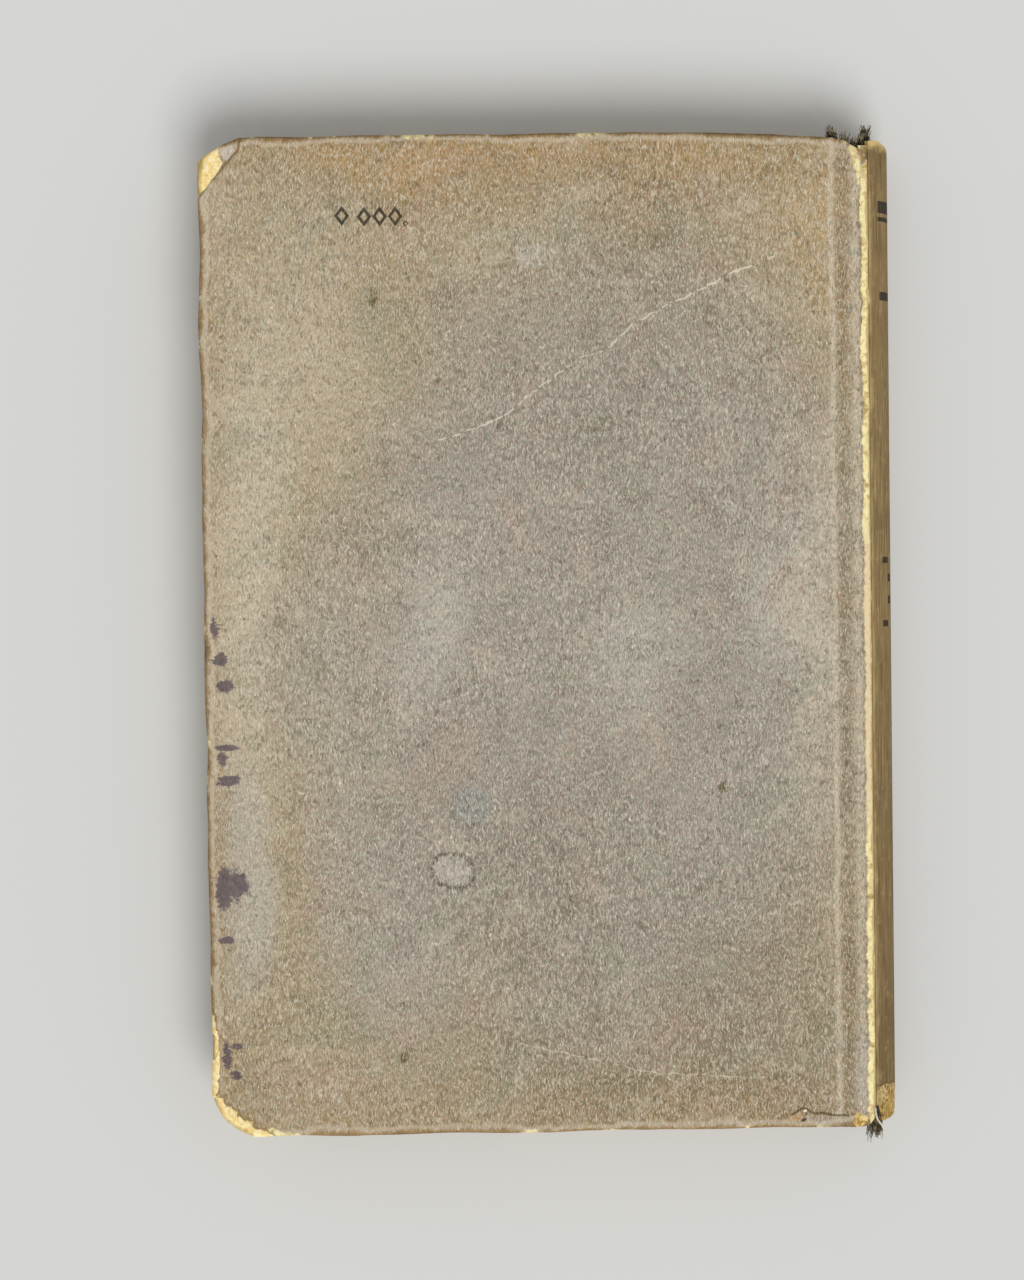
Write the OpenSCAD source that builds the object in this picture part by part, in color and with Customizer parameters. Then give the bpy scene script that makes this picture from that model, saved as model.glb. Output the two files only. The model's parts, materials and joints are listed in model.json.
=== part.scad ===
// Hardback book: a sewn block of folded signatures in a case of two boards and a rounded spine.
// It lies on its front cover, with the back cover up.
// X runs from the fore edge to the spine, Y from the tail to the head, and Z up.
// The origin is the middle of the underside. Lengths are millimetres, angles degrees.

/* [Block] */
// Width of a leaf, from its fold to the fore edge
leaf_w = 136; // [90:0.1:220]
// Height of a leaf, from tail to head
leaf_h = 201; // [140:1:300]
// Thickness of the sewn block, without the flyleaves
block_t = 12.2; // [9:0.1:30]
// Number of folded signatures sewn together
signatures = 17; // [8:1:32]
// How far the round of each fold stands out between its neighbours
fold_rise = 0.25; // [0.1:0.05:0.4]
// Thickness of an endpaper leaf
endpaper_t = 0.15; // [0.1:0.05:0.3]
// Play between a cover's pastedown and the flyleaf that it lies on
leaf_gap = 0.1; // [0.05:0.05:0.3]

/* [Sewing] */
// Number of kerfs that the sewing runs through
stations = 5; // [3:1:9]
// Distance from the head or tail of the leaves to the outermost kerf
kettle_in = 14; // [10:1:30]
// Width of a kerf along the spine
kerf_w = 1; // [0.8:0.1:2]
// Depth of a kerf in from the folds
kerf_d = 0.8; // [0.7:0.1:1.2]
// Thickness of the linen thread
thread_d = 0.5; // [0.3:0.05:0.6]

/* [Spine lining and bands] */
// Thickness of the open-weave lining cloth
lining_t = 0.25; // [0.2:0.05:0.5]
// Length of the lining cloth along the spine, short of the leaves at each end
lining_short = 14; // [12:1:30]
// Width of the lining cloth glued to each board
flange_w = 26; // [15:1:40]
// Radius of the bead of a headband
bead_r = 0.75; // [0.5:0.05:1]
// Width of the headband's tape glued to the spine
band_tape_w = 9; // [6:1:11]
// Thickness of the headband's tape
band_tape_t = 0.25; // [0.15:0.05:0.4]

/* [Case] */
// How far the boards overhang the leaves at head, tail and fore edge
square = 3; // [2:0.5:5]
// Thickness of the strawboard
board_t = 2; // [1.5:0.1:3.5]
// Thickness of the covering paper
paper_t = 0.25; // [0.15:0.05:0.4]
// Width of the covering paper turned in over the boards
turn_in_w = 15; // [12:1:20]
// Width of the joint, from the board's spine edge to the hinge line
joint_w = 7.4; // [6:0.1:10]
// Depth of the groove pressed in the joint beside the board
groove_d = 1; // [0.4:0.1:1.5]
// Width of the groove's floor
groove_w = 1.2; // [0.6:0.1:2]
// Width of each of the groove's slopes
slope_w = 2; // [1.2:0.1:2.2]
// How far the hinge line lies below the board's outer face
hinge_drop = 0.5; // [0.3:0.05:0.8]
// Width of the crack in the covering paper along the hinge line
hinge_gap = 0.3; // [0.2:0.05:0.6]

/* [Spine] */
// How far the round spine stands out beyond the hinge line
spine_swell = 5; // [3:0.05:6]
// Thickness of the card inlay that stiffens the spine
inlay_t = 0.7; // [0.4:0.1:1.2]
// Play between the loose inlay and the lining on the block
hollow_gap = 0.3; // [0.2:0.05:0.6]

/* [Wear] */
// Radius of the rubbed edges of the boards
edge_r = 1; // [0.6:0.1:1.4]
// Length along the head edge of the back cover's bent corner at the head
head_corner_x = 8.5; // [4:0.5:14]
// Length along the fore edge of the same corner
head_corner_y = 5; // [4:0.5:14]
// Radius of the back cover's rubbed corner at the tail
tail_corner_r = 8.3; // [4:0.1:14]
// Radius of the front cover's corners at the fore edge
front_corner_r = 4; // [3:0.5:8]
// Radius of the corners where the covering paper meets the spine
joint_corner_r = 3; // [2:0.5:5]
// Width of the bare board round the corner at the tail
bare_edge_w = 1.7; // [1:0.1:3]
// Reach of the bare patch across the corner at the head, in from the fore edge
bare_head_x = 5.6; // [2:0.1:8]
// Length along the fore edge by which that patch runs on past the corner
bare_head_y = 7; // [2:0.5:12]
// Radius of the bare nick in the fore edge
bare_nick_r = 2.8; // [1:0.1:4]
// Distance of that nick from the tail
bare_nick_y = 19; // [14:1:40]
// How far the rubbed cap of the spine falls back at the head
head_cap_y = 3.6; // [1:0.1:6]
// How far the rubbed cap of the spine falls back at the tail
tail_cap_y = 1.6; // [1:0.1:6]
// Length of the tear in the spine's paper at the tail
tail_tear_y = 7; // [4:0.5:12]

/* [Hidden] */

// Depths below a cover's outer face, from outside to inside
board_top = paper_t;
board_bottom = board_top + board_t;
lining_bottom = board_bottom + max(paper_t, lining_t);
pastedown_bottom = lining_bottom + endpaper_t;
flyleaf_top = pastedown_bottom + leaf_gap;
block_top = flyleaf_top + endpaper_t;
case_t = 2 * block_top + block_t;
mid_z = case_t / 2;

// Round of the spine: the outer arc rises by spine_swell over its half chord, which stops just short of
// the hinge line so that a cover laid right back clears it
hinge_clear = 0.1;
half_chord = mid_z - hinge_drop - hinge_clear;
spine_r = (pow(half_chord, 2) + pow(spine_swell, 2)) / (2 * spine_swell);
spine_half_angle = asin(half_chord / spine_r);
inlay_out_r = spine_r - paper_t;
inlay_in_r = inlay_out_r - inlay_t;
turned_in_r = inlay_in_r - paper_t;
lining_out_r = turned_in_r - hollow_gap;
back_r = lining_out_r - max(lining_t, band_tape_t);
back_half_angle = asin(block_t / 2 / back_r);

// Places along X and Y
limb_to_fold = spine_r - back_r * cos(back_half_angle);
case_w = limb_to_fold + leaf_w + square;
case_h = leaf_h + 2 * square;
fore_x = -case_w / 2;
limb_x = case_w / 2;
spine_x = limb_x - spine_r;
leaf_back_x = limb_x - limb_to_fold;
leaf_fore_x = leaf_back_x - leaf_w;
strip_end_x = limb_x - spine_swell - hinge_gap;
board_back_x = strip_end_x - joint_w;
cloth_clear = 0.4;
flange_end_x = strip_end_x - cloth_clear;
flange_fore_x = board_back_x - flange_w;

// Lengths and an angle by which a cut runs on past what it cuts, and the least space beside a face
far = 400;
beyond = 1;
beyond_angle = 5;
sliver = 0.01;

// Corner wear at the head and the tail of each cover, as lengths along X and Y
back_wear = [[head_corner_x, head_corner_y], [tail_corner_r, tail_corner_r]];
front_wear = [[front_corner_r, front_corner_r], [front_corner_r, front_corner_r]];

// Tear in the spine's paper, seen from above, as shares of spine_swell and tail_tear_y
tear = [[-0.2, -0.2], [-0.2, 0.35], [0.1, 0.6], [0.3, 0.5], [0.5, 0.95], [0.75, 1], [1.2, 0.8],
    [1.2, -0.2]];

cover_colour = "#a4957e";
spine_colour = "#8f7852";
board_colour = "#d8b56c";
leaf_colour = "#d9cba6";
endpaper_colour = "#cdbd98";
cloth_colour = "#8a8474";
thread_colour = "#e6dfcc";

// Points of an elliptical arc from angle a to angle b
function arc(centre, radii, a, b, steps) = [for (k = [0 : steps])
    let (t = a + (b - a) * k / steps) centre + [radii.x * cos(t), radii.y * sin(t)]];

// Outline of a cover seen from its outer face, drawn in by a margin on every side
function cover_outline(end_x, end_r, wear, margin) = let (
        h = case_h / 2,
        r = [end_r - margin, end_r - margin],
        m = [margin, margin])
    concat(
        arc([end_x - end_r, end_r - h], r, -90, 0, 4),
        arc([end_x - end_r, h - end_r], r, 0, 90, 4),
        arc([fore_x + wear[0].x, h - wear[0].y], wear[0] - m, 90, 180, 8),
        arc([fore_x + wear[1].x, wear[1].y - h], wear[1] - m, 180, 270, 8));

// The back cover lies on top: it is drawn as the lower one and turned over
module as_back() {
    translate([0, 0, case_t]) mirror([0, 0, 1]) children();
}

// What is drawn in plan and stands between two depths
module standing(low, high) {
    translate([0, 0, low]) linear_extrude(high - low) children();
}

// What is drawn in section, X across and Z up, and runs along the spine between two places on Y
module along_spine(from_y, to_y) {
    translate([0, to_y, 0]) rotate([90, 0, 0]) linear_extrude(to_y - from_y) children();
}

// Part of a disc about the spine's centre, within an angle each side of the middle
module spine_sector(r, half_angle) {
    reach = 2 * r;
    translate([spine_x, mid_z])
        intersection() {
            circle(r = r, $fn = 180);
            polygon([[0, 0], reach * [cos(half_angle), -sin(half_angle)], [2 * reach, 0],
                reach * [cos(half_angle), sin(half_angle)]]);
        }
}

// A curved band about the spine's centre, in section
module spine_band(inner, outer, half_angle) {
    difference() {
        spine_sector(outer, half_angle);
        translate([spine_x, mid_z]) circle(r = inner, $fn = 180);
    }
}

// Level on a smooth wave from low to high, t from 0 to 1
function ease(low, high, t) = low + (high - low) * (1 - cos(180 * t)) / 2;

// Outer face of the joint in section: from the board's rubbed edge down to the groove's floor and up to
// the hinge line
wave_x = board_back_x - 0.7 * edge_r;
floor_x = wave_x + slope_w;
rise_x = floor_x + groove_w;
joint_line = concat(
    [for (k = [0 : 6]) [wave_x + slope_w * k / 6, ease(0, groove_d, k / 6)]],
    [for (k = [0 : 6]) [rise_x + slope_w * k / 6, ease(groove_d, hinge_drop, k / 6)]],
    [[strip_end_x, hinge_drop]]);

// Section across a board's fore edge or its ends: from the inner face, round the edge, to the outer face
function rubbed_edge(edge, top, bottom, r) = concat(
    arc([edge + r / 3, bottom - r / 3], [r / 3, r / 3], 90, 180, 3),
    arc([edge + r, top + r], [r, r], 180, 270, 5));

// Section of a slab from end to end of the case, its long edges rubbed, X standing for Y
function end_section(margin, top, bottom, r) = let (
        side = rubbed_edge(margin - case_h / 2, top, bottom, r),
        last = len(side) - 1)
    concat(side, [for (k = [last : -1 : 0]) [-side[k].x, side[k].y]]);

// What is drawn in section, Y across and Z up, and runs from the fore edge to the spine
module along_cover(from_x, to_x) {
    translate([from_x, 0, 0]) rotate([90, 0, 90]) linear_extrude(to_x - from_x) children();
}

// Covering paper of one cover: over the board, round its edges, turned in, and across the joint
module cover_paper(wear) {
    outside = rubbed_edge(fore_x, 0, board_bottom + paper_t, edge_r);
    inside = rubbed_edge(fore_x + paper_t, board_top, board_bottom, edge_r - paper_t);
    last = len(joint_line) - 1;
    window_h = case_h - 2 * turn_in_w;
    difference() {
        intersection() {
            along_spine(-case_h / 2, case_h / 2)
                polygon(concat(outside, joint_line,
                    [for (k = [last : -1 : 4]) joint_line[k] + [0, paper_t]],
                    [[board_back_x, board_bottom + paper_t]]));
            along_cover(fore_x, limb_x)
                polygon(end_section(0, 0, board_bottom + paper_t, edge_r));
            standing(-beyond, case_t) polygon(cover_outline(strip_end_x, joint_corner_r, wear, 0));
        }
        intersection() {
            along_spine(-case_h / 2, case_h / 2)
                polygon(concat(inside,
                    [for (point = joint_line) point + [0, paper_t]],
                    [[far, hinge_drop + paper_t], [far, far], [board_back_x + sliver, far],
                        [board_back_x + sliver, board_bottom]]));
            along_cover(fore_x, far)
                polygon(end_section(paper_t, board_top, board_bottom, edge_r - paper_t));
            standing(-beyond, case_t)
                polygon(cover_outline(strip_end_x + far, joint_corner_r, wear, paper_t));
        }
        translate([fore_x + turn_in_w, -window_h / 2, board_bottom - paper_t])
            cube([far, window_h, far]);
    }
}

// Strawboard of one cover
module board(wear) {
    section = rubbed_edge(fore_x + paper_t, board_top, board_bottom, edge_r - paper_t);
    r = edge_r - paper_t;
    intersection() {
        along_spine(-case_h / 2, case_h / 2)
            polygon(concat(section, arc([board_back_x - r, board_top + r], [r, r], 270, 360, 5),
                [[board_back_x, board_bottom]]));
        along_cover(fore_x, limb_x) polygon(end_section(paper_t, board_top, board_bottom, r));
        standing(-beyond, case_t) polygon(cover_outline(board_back_x, 1, wear, paper_t));
    }
}

// Endpaper leaf pasted over the turned-in paper and the lining, and sunk to the board between them
module pastedown() {
    h = leaf_h / 2;
    inner_h = case_h / 2 - turn_in_w;
    well_fore_x = fore_x + turn_in_w;
    well_w = flange_fore_x - well_fore_x;
    sunk = lining_bottom - board_bottom;
    difference() {
        translate([leaf_fore_x, -h, board_bottom])
            cube([flange_end_x - leaf_fore_x, leaf_h, pastedown_bottom - board_bottom]);
        difference() {
            translate([leaf_fore_x - beyond, -h - beyond, board_bottom - beyond])
                cube([far, leaf_h + 2 * beyond, sunk + beyond]);
            translate([well_fore_x, -inner_h, board_bottom - 2 * beyond])
                cube([well_w, 2 * inner_h, far]);
        }
        translate([well_fore_x + endpaper_t, endpaper_t - inner_h, board_bottom + endpaper_t])
            cube([well_w - 2 * endpaper_t, 2 * (inner_h - endpaper_t), far]);
    }
}

// Lining cloth glued to the board's inside, and across the joint to the head and the tail
module lining_flange() {
    lining_h = leaf_h - 2 * lining_short;
    joint_h = case_h - 2 * paper_t;
    joint_x = board_back_x + cloth_clear;
    translate([flange_fore_x, -lining_h / 2, board_bottom])
        cube([flange_end_x - flange_fore_x, lining_h, lining_t]);
    translate([joint_x, -joint_h / 2, board_bottom])
        cube([flange_end_x - joint_x, joint_h, lining_t]);
}

// Back of the leaves at a height above or below the block's middle
function back_x(z) = spine_x + sqrt(pow(back_r, 2) - pow(z, 2));

// Folds of the signatures, one round of five points each
signature_t = block_t / signatures;
fold_line = [for (s = [0 : signatures - 1]) for (u = [-1, -0.8, -0.4, 0.4, 0.8])
    let (z = -block_t / 2 + signature_t * (s + (u + 1) / 2))
    [back_x(z) - fold_rise * (1 - sqrt(1 - u * u)), mid_z + z]];

// Fore edge, hollow by as much as the back is round
fore_edge_steps = 16;
fore_edge_line = [for (k = [fore_edge_steps : -1 : 0])
    let (z = block_t * (k / fore_edge_steps - 0.5)) [back_x(z) - leaf_w, mid_z + z]];

// Places of the kerfs along the spine
station_step = (leaf_h - 2 * kettle_in) / (stations - 1);
station_y = [for (s = [0 : stations - 1]) kettle_in - leaf_h / 2 + s * station_step];

// Folded leaves, sewn, rounded and trimmed as one block
module page_block() {
    color(leaf_colour)
        difference() {
            along_spine(-leaf_h / 2, leaf_h / 2)
                polygon(concat(fold_line, [[leaf_back_x - fold_rise, mid_z + block_t / 2]],
                    fore_edge_line));
            for (y = station_y)
                along_spine(y - kerf_w / 2, y + kerf_w / 2)
                    spine_band(back_r - kerf_d, back_r + beyond, back_half_angle + beyond_angle);
        }
}

// Free leaf of an endpaper, tipped to the block's outermost leaf
module flyleaf() {
    translate([leaf_fore_x, -leaf_h / 2, flyleaf_top])
        cube([leaf_w - fold_rise, leaf_h, endpaper_t]);
}

module front_flyleaf() {
    color(endpaper_colour) flyleaf();
}

module back_flyleaf() {
    color(endpaper_colour) as_back() flyleaf();
}

// Thread from fold to fold in each kerf
module sewing_thread() {
    thread_r = back_r - kerf_d / 2;
    half_angle = asin((block_t - signature_t) / 2 / back_r);
    color(thread_colour)
        for (y = station_y)
            translate([spine_x, y, mid_z]) rotate([90, half_angle, 0])
                rotate_extrude(angle = 2 * half_angle, $fn = 96)
                    translate([thread_r, 0]) circle(d = thread_d, $fn = 24);
}

// Open-weave cloth glued over the folds
module spine_lining_cloth() {
    half_h = leaf_h / 2 - lining_short;
    color(cloth_colour)
        along_spine(-half_h, half_h) spine_band(back_r, back_r + lining_t, back_half_angle);
}

// Headband at one end of the leaves: a bead on their edge and a tape glued down the folds
module band() {
    tape_out_r = back_r + band_tape_t;
    color(cloth_colour) {
        along_spine(leaf_h / 2 - band_tape_w, leaf_h / 2 + bead_r)
            spine_band(back_r, tape_out_r, back_half_angle);
        translate([spine_x, leaf_h / 2 + bead_r, mid_z]) rotate([90, back_half_angle, 0])
            rotate_extrude(angle = 2 * back_half_angle, $fn = 96)
                translate([tape_out_r - bead_r, 0]) circle(r = bead_r, $fn = 24);
    }
}

module head_band() {
    band();
}

module tail_band() {
    mirror([0, 1, 0]) band();
}

// Outline of the spine from above, its caps rubbed back at the limb, drawn in by a margin
module spine_plan(margin) {
    cap_x = spine_swell * 0.8;
    h = case_h / 2;
    polygon(concat(
        [[spine_x, margin - h]],
        arc([limb_x - cap_x, tail_cap_y - h], [cap_x, tail_cap_y - margin], -90, 0, 8),
        arc([limb_x - cap_x, h - head_cap_y], [cap_x, head_cap_y - margin], 0, 90, 8),
        [[spine_x, h - margin]]));
}

// Card that stiffens the spine, loose from the block
module spine_inlay() {
    color(board_colour)
        intersection() {
            along_spine(-case_h / 2, case_h / 2)
                spine_band(inlay_in_r, inlay_out_r, spine_half_angle);
            standing(-beyond, case_t + beyond) spine_plan(paper_t);
        }
}

// Covering paper over the inlay and turned in at head and tail, torn at the tail
module spine_cover_paper() {
    h = case_h / 2;
    color(spine_colour)
        difference() {
            intersection() {
                along_spine(-h, h) spine_band(turned_in_r, spine_r, spine_half_angle);
                standing(-beyond, case_t + beyond) spine_plan(0);
            }
            intersection() {
                along_spine(-h, h) spine_band(inlay_in_r, inlay_out_r, spine_half_angle + beyond_angle);
                standing(-beyond, case_t + beyond) spine_plan(paper_t);
            }
            along_spine(turn_in_w - h, h - turn_in_w)
                spine_sector(inlay_in_r, spine_half_angle + beyond_angle);
            intersection() {
                standing(mid_z, case_t + beyond)
                    polygon([for (p = tear) [limb_x - spine_swell * (1 - p.x), tail_tear_y * p.y - h]]);
                along_spine(-far / 2, far / 2)
                    spine_band(inlay_out_r, spine_r + beyond, spine_half_angle + beyond_angle);
            }
        }
}

module front_board() {
    color(board_colour) board(front_wear);
}

module front_cover_paper() {
    color(cover_colour) cover_paper(front_wear);
}

module front_pastedown() {
    color(endpaper_colour) pastedown();
}

module front_lining_flange() {
    color(cloth_colour) lining_flange();
}

module back_board() {
    color(board_colour) as_back() board(back_wear);
}

// Paper torn from the back cover's corner at the head, seen from above, as shares of bare_head_x and
// bare_head_y, from the fore edge and from the foot of the corner's slope
bare_head = [[-0.5, -1], [0.05, -1], [0.34, -0.82], [0.58, -0.55], [0.75, -0.38], [0.84, -0.3],
    [1, -0.04], [0.9, 0.08], [0.72, 0.3], [0.72, 1], [-0.5, 1]];

// Places where the back cover's paper is rubbed through to the board
module bare_places() {
    h = case_h / 2;
    corner = tail_corner_r + beyond;
    polygon([for (p = bare_head) [fore_x + bare_head_x * p.x, h - head_corner_y + bare_head_y * p.y]]);
    polygon(arc([fore_x, bare_nick_y - h], [bare_nick_r / 2, bare_nick_r], 0, 345, 23));
    difference() {
        translate([fore_x - beyond, -h - beyond]) square(corner);
        polygon(cover_outline(strip_end_x, joint_corner_r, back_wear, bare_edge_w));
    }
}

// Covering paper of the back cover, with the bare places at its fore edge
module back_cover_paper() {
    color(cover_colour) as_back()
        difference() {
            cover_paper(back_wear);
            standing(-beyond, board_bottom) bare_places();
        }
}

module back_pastedown() {
    color(endpaper_colour) as_back() pastedown();
}

module back_lining_flange() {
    color(cloth_colour) as_back() lining_flange();
}

page_block();
front_flyleaf();
back_flyleaf();
sewing_thread();
spine_lining_cloth();
head_band();
tail_band();
spine_inlay();
spine_cover_paper();
front_board();
front_cover_paper();
front_pastedown();
front_lining_flange();
back_board();
back_cover_paper();
back_pastedown();
back_lining_flange();
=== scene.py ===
import json
import math
import random

import bpy
from mathutils import Matrix, Vector


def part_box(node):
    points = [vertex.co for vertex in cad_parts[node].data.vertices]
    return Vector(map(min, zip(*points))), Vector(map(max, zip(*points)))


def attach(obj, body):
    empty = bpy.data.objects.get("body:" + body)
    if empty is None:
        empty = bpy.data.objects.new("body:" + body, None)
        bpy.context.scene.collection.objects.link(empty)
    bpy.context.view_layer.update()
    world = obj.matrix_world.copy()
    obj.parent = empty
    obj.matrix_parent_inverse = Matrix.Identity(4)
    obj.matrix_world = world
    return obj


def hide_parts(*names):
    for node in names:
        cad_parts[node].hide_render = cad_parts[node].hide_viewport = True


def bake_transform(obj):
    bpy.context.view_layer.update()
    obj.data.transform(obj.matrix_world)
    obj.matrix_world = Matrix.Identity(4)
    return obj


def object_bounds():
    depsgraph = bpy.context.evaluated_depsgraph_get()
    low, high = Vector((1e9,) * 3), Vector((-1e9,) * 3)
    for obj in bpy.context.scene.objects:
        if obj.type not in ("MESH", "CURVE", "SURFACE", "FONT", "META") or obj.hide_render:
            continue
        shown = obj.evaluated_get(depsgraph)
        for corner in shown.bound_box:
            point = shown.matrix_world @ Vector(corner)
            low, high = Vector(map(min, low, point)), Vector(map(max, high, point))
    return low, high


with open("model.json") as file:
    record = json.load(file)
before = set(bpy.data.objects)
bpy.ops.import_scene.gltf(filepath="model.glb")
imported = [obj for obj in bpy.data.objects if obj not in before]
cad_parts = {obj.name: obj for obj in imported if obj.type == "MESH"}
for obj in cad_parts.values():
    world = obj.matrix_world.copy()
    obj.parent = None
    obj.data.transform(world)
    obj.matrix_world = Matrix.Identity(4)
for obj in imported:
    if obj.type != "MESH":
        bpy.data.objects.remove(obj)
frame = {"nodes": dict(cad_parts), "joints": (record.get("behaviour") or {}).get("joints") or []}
cad_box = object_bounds()

# The sewn block of leaves.
# Signatures of uncoated book paper, folded, sewn through their folds, rounded and trimmed with a blade.
# The trimmed edges are toned by age and dust, and no two leaves lie quite flush.
mm = 0.001
X = Vector((1, 0, 0))
Y = Vector((0, 1, 0))
Z = Vector((0, 0, 1))
book_low, book_high = cad_box
block_low, block_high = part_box("page_block")
signatures = 17
cuts_in_signature = 4
leaf_uneven = 0.5 * mm
leaf_grain = 12 * mm, 12 * mm, 0.5 * mm
leaf_colour = "#dccda5"
leaf_toned = "#b39a68"
leaf_gap_shade = "#7f6b45"


def pick(piece):
    """Selects one object alone and makes it the active one."""
    bpy.ops.object.select_all(action="DESELECT")
    piece.select_set(True)
    bpy.context.view_layer.objects.active = piece


def copy_node(node, name):
    """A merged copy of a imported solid, which stands for it and can be shaped."""
    piece = bpy.data.objects.new(name, frame["nodes"][node].data.copy())
    piece.data.materials.clear()
    bpy.context.scene.collection.objects.link(piece)
    pick(piece)
    bpy.ops.mesh.customdata_custom_splitnormals_clear()
    bpy.ops.object.mode_set(mode="EDIT")
    bpy.ops.mesh.select_all(action="SELECT")
    bpy.ops.mesh.remove_doubles(threshold=0.002 * mm)
    bpy.ops.mesh.dissolve_limited(angle_limit=math.radians(0.2))
    bpy.ops.object.mode_set(mode="OBJECT")
    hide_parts(node)
    return piece


def cut_across(piece, axis, places):
    """Cuts a piece all through at places along an axis, so that it can be shaped there."""
    pick(piece)
    bpy.ops.object.mode_set(mode="EDIT")
    for place in places:
        bpy.ops.mesh.select_all(action="SELECT")
        bpy.ops.mesh.bisect(plane_co=axis * place, plane_no=axis, threshold=0.005 * mm)
    bpy.ops.object.mode_set(mode="OBJECT")


def between(low, high, step):
    """Places between low and high, about a step apart, without the two ends."""
    count = max(1, round((high - low) / step))
    return [low + (high - low) * k / count for k in range(1, count)]


def weigh(piece, name, rule):
    """A vertex group whose weight at each point comes from a rule on its place."""
    group = piece.vertex_groups.new(name=name)
    for vertex in piece.data.vertices:
        group.add([vertex.index], min(1, max(0, rule(vertex.co))), "REPLACE")
    return group.name


def unsettle(piece, direction, strength, sizes, group="", middle=0.5):
    """Moves a surface in and out by soft noise, whose grain has a size along each axis."""
    grain = bpy.data.textures.new(piece.name + " grain", type="CLOUDS")
    grain.noise_scale = 1
    grain.noise_depth = 2
    ruler = bpy.data.objects.new("ruler", None)
    ruler.scale = sizes
    bpy.context.scene.collection.objects.link(ruler)
    bpy.context.view_layer.update()
    moved = piece.modifiers.new("grain", "DISPLACE")
    moved.texture = grain
    moved.texture_coords = "OBJECT"
    moved.texture_coords_object = ruler
    moved.direction = direction
    moved.mid_level = middle
    moved.strength = strength
    moved.vertex_group = group
    pick(piece)
    bpy.ops.object.modifier_apply(modifier=moved.name)
    bpy.data.objects.remove(ruler)
    bpy.data.textures.remove(grain)


def smooth(piece, angle=40):
    """Shades a piece smooth across edges that turn by less than an angle in degrees."""
    pick(piece)
    bpy.ops.object.shade_smooth_by_angle(angle=math.radians(angle))


def linear(colour):
    """An sRGB hex colour as linear red, green, blue and alpha."""
    parts = [int(colour[k:k + 2], 16) / 255 for k in (1, 3, 5)]
    return [c / 12.92 if c <= 0.04045 else ((c + 0.055) / 1.055) ** 2.4 for c in parts] + [1]


def add(material, kind, inputs=(), out=0, **settings):
    """Adds a node, sets it, links or sets its inputs, given in order or by name, and gives one output."""
    tree = material.node_tree
    node = tree.nodes.new("ShaderNode" + kind)
    for name, value in settings.items():
        setattr(node, name, value)
    for socket, value in inputs.items() if isinstance(inputs, dict) else enumerate(inputs):
        if isinstance(value, bpy.types.NodeSocket):
            tree.links.new(value, node.inputs[socket])
        else:
            node.inputs[socket].default_value = linear(value) if isinstance(value, str) else value
    return node.outputs[out]


def new_material(name, roughness, specular):
    """A material of fixed gloss, and the place on its piece in millimetres."""
    material = bpy.data.materials.new(name)
    material.use_nodes = True
    shader = material.node_tree.nodes["Principled BSDF"]
    shader.inputs["Roughness"].default_value = roughness
    shader.inputs["Specular IOR Level"].default_value = specular
    place = add(material, "TexCoord", out="Object")
    return material, add(material, "VectorMath", {0: place, "Scale": 1 / mm}, operation="SCALE")


def tint(material, colour, dye, value, none_at, full_at, strength=1.0):
    """Lays a dye over a colour, from nothing where a value is at one level to its strength at another."""
    share = add(material, "MapRange", (value, none_at, full_at, 0, strength), interpolation_type="SMOOTHSTEP")
    return add(material, "Mix", {0: share, 6: colour, 7: dye}, 2, data_type="RGBA")


def surface(material, colour, height, depth):
    """Gives a material its colour, and a relief whose depth is in millimetres."""
    shader = material.node_tree.nodes["Principled BSDF"]
    bump = add(material, "Bump", {"Height": height, "Distance": depth * mm, "Strength": 1})
    material.node_tree.links.new(colour, shader.inputs["Base Color"])
    material.node_tree.links.new(bump, shader.inputs["Normal"])
    return material


# Aged uncoated book paper: thin lines of painted shade between the trimmed leaves, a darker one where
# two signatures meet, and a brown tone in soft clouds. Matt. Leaves of 0.1 mm are drawn 0.35 mm apart, to
# show.
leaves_paper, place = new_material("aged book paper, trimmed edges", 0.92, 0.15)
lines = add(leaves_paper, "TexNoise", {
    "Vector": add(leaves_paper, "Mapping", {0: place, "Scale": (0.04, 0.04, 1 / 0.35)}),
    "Scale": 1, "Detail": 3, "Roughness": 0.6})
clouds = add(leaves_paper, "TexNoise", {"Vector": place, "Scale": 1 / 12, "Detail": 4})
height_z = add(leaves_paper, "SeparateXYZ", (place,), "Z")
signature_t = (block_high.z - block_low.z) / signatures / mm
from_gap = add(leaves_paper, "Math", (
    add(leaves_paper, "Math", (height_z, block_low.z / mm), operation="SUBTRACT"), signature_t),
    operation="PINGPONG")
colour = tint(leaves_paper, leaf_colour, leaf_toned, clouds, 0.3, 0.7, 0.75)
# Painted shade in the gaps between leaves, darker where two signatures meet.
colour = tint(leaves_paper, colour, leaf_gap_shade, lines, 0.6, 0.35, 0.7)
colour = tint(leaves_paper, colour, leaf_gap_shade, from_gap, 0.13, 0, 0.4)
surface(leaves_paper, colour, lines, 0.15)

leaves = copy_node("page_block", "sewn_leaves")
cut_across(leaves, Z, between(block_low.z, block_high.z, signature_t * mm / cuts_in_signature))
cut_across(leaves, X, between(block_low.x, block_high.x, 6 * mm))
cut_across(leaves, Y, between(block_low.y, block_high.y, 8 * mm))
leaf_ends = weigh(leaves, "head and tail", lambda p: abs(p.y) > block_high.y - 0.1 * mm)
leaf_fore = weigh(leaves, "fore edge", lambda p: p.x < block_low.x + 7 * mm)
unsettle(leaves, "Y", leaf_uneven, leaf_grain, leaf_ends)
unsettle(leaves, "X", leaf_uneven, leaf_grain, leaf_fore)
smooth(leaves, 60)
leaves.data.materials.append(leaves_paper)
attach(leaves, "book_block")

# The sewing.
# Undyed linen thread through the kerfs in the folds, from the first signature to the last.
# Off-white and a little soiled. Its twist is too fine to show, so a mottle stands for it.
thread_colour = "#e4ddca"
thread_soiled = "#a89c80"


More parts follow.
